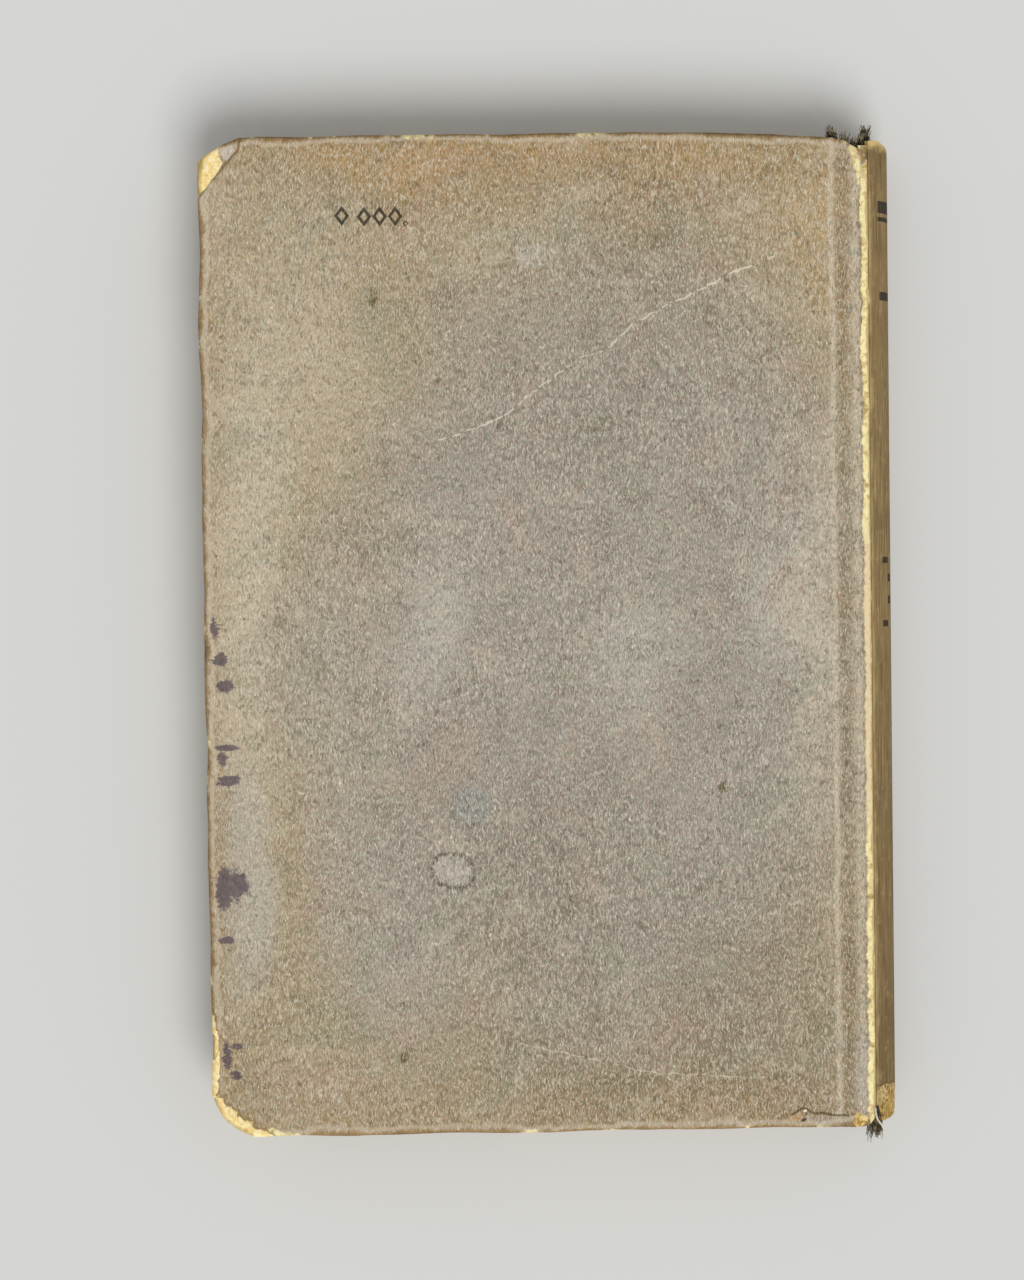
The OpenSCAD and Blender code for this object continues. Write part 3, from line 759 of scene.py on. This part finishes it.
spine_card, place = new_material("soiled thin strawboard", 0.92, 0.12)
flakes = split_card(spine_card, place)
grit = add(spine_card, "TexNoise", {"Vector": place, "Scale": 1.6, "Detail": 3})
colour = tint(spine_card, card_colour, card_pale, flakes, 0.5, 0.6)
colour = tint(spine_card, colour, card_dark, flakes, 0.46, 0.36, 0.9)
colour = tint(spine_card, colour, card_dark, grit, 0.54, 0.66, 0.6)
surface(spine_card, colour, flakes, 0.8)


def wear_spine_layer(piece, row):
    """Cuts a layer of the spine into rows, presses its head and tail in, and frays both ends."""
    cut_across(piece, Y, between(-head_y, head_y, row))
    for vertex in piece.data.vertices:
        p = vertex.co
        into_end = max(0, 1 - (head_y - abs(p.y)) / spine_end_length) ** 2
        p.y -= into_end * (spine_head_worn if p.y > 0 else -spine_tail_worn)
    ends = weigh(piece, "ends", lambda p: 1 - (head_y - abs(p.y)) / spine_fray_length)
    unsettle(piece, "Y", spine_fray, (2.5 * mm, 2.5 * mm, 2.5 * mm), ends)
    smooth(piece)


inlay = copy_node("spine_inlay", "spine_card")
wear_spine_layer(inlay, 3 * mm)
inlay.data.materials.append(spine_card)
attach(inlay, "book_block")

# The paper over the spine.
# The same paper, kept from the light and so still brown, rubbed along its ridges, torn at the tail.
# Plain rules and squares are printed across it.
spine_brown = "#86704a"
spine_light = "#b39d70"
spine_dark = "#55432a"
torn_below_y = -94.9
# Each mark: its middle and half length along the spine, then the same either way from the spine's middle.
spine_marks = ((87.9, 1.25, 0, 6.9), (85.4, 0.45, 0, 6.9), (69.5, 0.9, 0, 6.6), (14.7, 0.65, 5.4, 1.0),
               (11.0, 0.85, 3.6, 0.9), (6.4, 0.85, 3.6, 0.9), (1.5, 0.65, 5.4, 1.0))
spine_paper, place = new_material("spine's covering paper", 0.85, 0.2)
apart = add(spine_paper, "SeparateXYZ", (place,)).node.outputs
ridges = add(spine_paper, "TexNoise", {
    "Vector": add(spine_paper, "Mapping", {0: place, "Scale": (1.5, 0.1, 1.5)}),
    "Scale": 1, "Detail": 4, "Roughness": 0.6})
speckle = add(spine_paper, "TexNoise", {"Vector": place, "Scale": 1 / 1.8, "Detail": 3})
clouds = add(spine_paper, "TexNoise", {"Vector": place, "Scale": 1 / 15, "Detail": 3})
colour = tint(spine_paper, spine_brown, spine_light, ridges, 0.5, 0.75, 0.5)
colour = tint(spine_paper, colour, spine_dark, ridges, 0.48, 0.3, 0.5)
colour = tint(spine_paper, colour, spine_dark, clouds, 0.5, 0.3, 0.3)
creases = add(spine_paper, "TexNoise", {
    "Vector": add(spine_paper, "Mapping", {0: place, "Scale": (3.2, 0.12, 3.2)}), "Scale": 1, "Detail": 3})
colour = tint(spine_paper, colour, spine_light, creases, 0.54, 0.7, 0.4)
colour = tint(spine_paper, colour, spine_dark, creases, 0.46, 0.3, 0.4)
colour = tint(spine_paper, colour, spine_dark, apart["Y"], 10, -70, 0.28)
colour = tint(spine_paper, colour, spine_light, speckle, 0.55, 0.75, 0.3)
off_middle = off(spine_paper, apart["Z"], (book_high.z + book_low.z) / 2 / mm)
for mark_y, half_y, mark_z, half_z in spine_marks:
    beside_y = add(spine_paper, "Math", (off(spine_paper, apart["Y"], mark_y), half_y), operation="DIVIDE")
    beside_z = add(spine_paper, "Math", (off(spine_paper, off_middle, mark_z), half_z), operation="DIVIDE")
    beside = add(spine_paper, "Math", (beside_y, beside_z), operation="MAXIMUM")
    colour = tint(spine_paper, colour, print_ink_and_hole_shade, beside, 1.05, 0.95, 0.9)
cap = swayed(spine_paper, apart["Y"], speckle, 3)
colour = tint(spine_paper, colour, straw_colour, cap, (head_y - spine_head_worn) / mm - 2.6,
              (head_y - spine_head_worn) / mm - 0.4, 0.55)
ragged = add(spine_paper, "TexNoise", {
    "Vector": add(spine_paper, "Mapping", {0: place, "Scale": (0.6, 0.18, 0.6)}), "Scale": 1, "Detail": 4})
edge_in = swayed(spine_paper, apart["X"], ragged, 2.4)
past_stop = beyond(spine_paper, apart["Y"], strip_stops_y)
edge_in = add(spine_paper, "Math", (past_stop, 0.3, edge_in), operation="MULTIPLY_ADD")
colour = tint(spine_paper, colour, spine_light, edge_in, hinge_x / mm + 0.9, hinge_x / mm - 0.1, 0.8)
colour = tint(spine_paper, colour, rubbed_pulp, edge_in, hinge_x / mm - 0.15, hinge_x / mm - 0.5, 0.8)
torn = swayed(spine_paper, apart["Y"], speckle, 2)
bare = tint(spine_paper, card_dark, card_pale, split_card(spine_paper, place), 0.34, 0.7)
# A painted shadow along the torn edge, and the bare card below it.
colour = tint(spine_paper, colour, spine_dark, torn, torn_below_y + 0.5, torn_below_y, 0.6)
colour = tint(spine_paper, colour, bare, torn, torn_below_y, torn_below_y - 0.3, 0.9)
surface(spine_paper, colour, ridges, 0.15)

spine = copy_node("spine_cover_paper", "spine_covering_paper")
wear_spine_layer(spine, 2 * mm)
spine.data.materials.append(spine_paper)
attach(spine, "book_block")

# The folds that join the covers to the book.
# The covering paper, rubbed thin, still holds across the hinge line, and the endpaper's fold holds
# inside the joint.
fold_segments = 14
fold_rows = 60
rubbed_fold_t = 0.12 * mm
endpaper_fold_t = 0.08 * mm


def hinge_fold(name, side, cover_edge, book_edge, half_length, thickness, finish, slot):
    """A strip of paper from a cover's edge to the book's edge, each given as X and depth in the book."""
    inwards = 1 if side == "front" else -1
    ends = [Vector((x, 0, outer_face[side] + inwards * depth)) for x, depth in (cover_edge, book_edge)]
    bpy.ops.object.select_all(action="DESELECT")
    bpy.ops.mesh.primitive_grid_add(x_subdivisions=fold_segments, y_subdivisions=fold_rows, size=1)
    piece = bpy.context.object
    piece.name = name
    for vertex in piece.data.vertices:
        vertex.co = ends[0].lerp(ends[1], vertex.co.x + 0.5) + Y * (2 * half_length * vertex.co.y)
    piece.data.materials.append(finish)
    layer = piece.modifiers.new("thickness", "SOLIDIFY")
    layer.thickness = thickness
    layer.offset = 0
    pick(piece)
    bpy.ops.object.modifier_apply(modifier=layer.name)
    smooth(piece)
    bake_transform(piece)


rubbed_fold_edges = (strip_end_x - 1.7 * mm, 1.2 * mm), (hinge_x + 0.06 * mm, 0.85 * mm)
for side in ("front", "back"):
    hinge_fold(side + "_rubbed_fold", side, *rubbed_fold_edges, head_y - joint_corner_r, rubbed_fold_t,
               spine_paper, "spine_paper")
    pastedown_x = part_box(side + "_pastedown")[1].x
    flyleaf_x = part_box(side + "_flyleaf")[1].x
    hinge_fold(side + "_endpaper_fold", side, (pastedown_x - 0.3 * mm, 2.7 * mm), (flyleaf_x, 2.8 * mm),
               block_high.y, endpaper_fold_t, endpaper, "endpaper")

# The frayed ends of the lining cloth.
# At head and tail the cloth's threads have come loose from the joint and stand out in dark tufts.
# A white end of the sewing thread curls out among them at the tail.
fray_dark = "#4a4233"
fray_light = "#9a8d6b"
frayed_cloth, place = new_material("frayed cotton threads", 0.95, 0.1)
clouds = add(frayed_cloth, "TexNoise", {"Vector": place, "Scale": 1 / 1.2, "Detail": 3})
surface(frayed_cloth, tint(frayed_cloth, fray_dark, fray_light, clouds, 0.45, 0.75), clouds, 0.05)
loose_thread_t = 0.2 * mm
sewing_thread_t = 0.5 * mm
chance = random.Random(7)


def strands(name, body, routes, thickness, finish):
    """Loose threads as thin tapering tubes, each along its own few points."""
    bpy.ops.object.select_all(action="DESELECT")
    bpy.ops.curve.primitive_nurbs_path_add(radius=mm)
    piece = bpy.context.object
    piece.name = name
    piece.data.splines.clear()
    for route in routes:
        line = piece.data.splines.new("NURBS")
        line.points.add(len(route) - 1)
        line.use_endpoint_u = True
        line.order_u = 3
        line.resolution_u = 3
        for k, (point, place) in enumerate(zip(line.points, route)):
            point.co = (*place, 1)
            point.radius = 1 - 0.6 * k / len(route)
    piece.data.bevel_depth = thickness / 2
    piece.data.bevel_resolution = 1
    piece.data.use_fill_caps = True
    pick(piece)
    bpy.ops.object.convert(target="MESH")
    piece = bpy.context.object
    smooth(piece, 60)
    piece.data.materials.append(finish)
    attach(piece, body)


def tuft(root_low, root_high, tip, spread, count):
    """Routes of threads that start between two places and reach for a tip, each its own way."""
    routes = []
    for _ in range(count):
        start = Vector([low + (high - low) * chance.random() for low, high in zip(root_low, root_high)])
        end = start + (Vector(tip) - start) * chance.uniform(0.45, 1.05)
        end += Vector([chance.uniform(-spread, spread) for _ in range(3)])
        route = [start]
        for k in range(1, 5):
            stray = Vector([chance.uniform(-spread, spread) * 0.35 for _ in range(3)])
            route.append(start.lerp(end, k / 4) + stray)
        routes.append([point * mm for point in route])
    return routes


# Each tuft: two corners of its root, its tip, how far its threads stray, and how many there are.
head, tail = head_y / mm, -head_y / mm
strands("head_fray_at_the_joint", "back_cover",
        tuft((59.4, head - 3, 15.4), (60.8, head - 2, 16.0), (59.0, head + 0.5, 16.4), 1.0, 80)
        + tuft((60.8, head - 4, 15.3), (62.8, head - 3.4, 15.9), (62.2, head - 0.5, 16.2), 0.9, 80)
        + tuft((63.2, head - 5, 15.3), (64.6, head - 4.4, 15.9), (64.2, head - 1.6, 16.0), 0.7, 60),
        loose_thread_t, frayed_cloth)
strands("head_fray_at_the_spine", "book_block",
        tuft((64.8, head - 4, 13.8), (67.0, head - 3, 15.2), (66.6, head + 0.4, 15.6), 1.1, 130),
        loose_thread_t, frayed_cloth)
strands("tail_fray", "book_block",
        tuft((65.6, tail + 2, 11.0), (68.8, tail + 3, 14.6), (66.8, tail - 2.4, 12.6), 1.6, 90)
        + tuft((66.3, tail + 3.6, 16.9), (67.2, tail + 4.6, 17.5), (67.2, tail - 1.8, 15.4), 1.1, 90),
        loose_thread_t, frayed_cloth)
# The sewing thread's end comes out between the cover and the spine, curls up and hangs over the tail.
thread_end = (
    (66.5, -99.6, 17.5), (66.5, -101.0, 18.1), (67.0, -102.2, 18.2), (67.9, -103.2, 17.9),
    (68.3, -104.3, 17.2), (68.1, -105.3, 16.2), (67.5, -105.9, 15.2))
strands("tail_thread_end", "book_block", [[Vector(point) * mm for point in thread_end]],
        sewing_thread_t, linen_thread)

# Where the book lies, and how it is seen.
# A pale even table, one broad soft lamp from beyond the tail and the spine, and a white surround, at the
# plain level at which a colour shows as it is written. The table is 20 m wide, so that no low view of
# the book shows its end.
floor_colour = "#d6d6d3"
floor_size = 20
bpy.ops.object.select_all(action="DESELECT")
bpy.ops.mesh.primitive_plane_add(size=floor_size, location=(0, 0, -0.05 * mm))
floor = bpy.context.object
floor.name = "table"
bpy.ops.object.transform_apply(location=True, rotation=True, scale=True)
table_top = new_material("matt pale table top", 0.9, 0.2)[0]
table_top.node_tree.nodes["Principled BSDF"].inputs["Base Color"].default_value = linear(floor_colour)
floor.data.materials.append(table_top)

bpy.ops.object.light_add(type="SUN", location=(0, 0, 1))
lamp = bpy.context.object
lamp.data.energy = 1.9
lamp.data.angle = math.radians(35)
lamp.rotation_euler = (math.radians(33), math.radians(14), 0)
surround = bpy.data.worlds.new("white surround")
surround.use_nodes = True
surround.node_tree.nodes["Background"].inputs["Color"].default_value = (1, 1, 1, 1)
surround.node_tree.nodes["Background"].inputs["Strength"].default_value = 0.5
bpy.context.scene.world = surround

# The camera stands over the book, turned as the photograph shows it, in degrees about X, Y and Z. Its
# focal length is in pixels of the picture, which is 1280 pixels high.
camera_place = Vector((-21.613, 19.668, 638.516)) * mm
camera_turns = (-1.8724, -1.2741, -0.7603)
focal_pixels = 3000
picture_pixels = 1280
bpy.ops.object.camera_add()
camera = bpy.context.object
camera.data.sensor_fit = "VERTICAL"
camera.data.sensor_height = 36
camera.data.lens = focal_pixels / picture_pixels * camera.data.sensor_height
camera.data.clip_start = 0.01
turn_x, turn_y, turn_z = (Matrix.Rotation(math.radians(a), 4, axis) for a, axis in zip(camera_turns, "XYZ"))
camera.matrix_world = Matrix.Translation(camera_place) @ turn_z @ turn_y @ turn_x
bpy.context.scene.camera = camera
bpy.context.scene.view_settings.view_transform = "Standard"
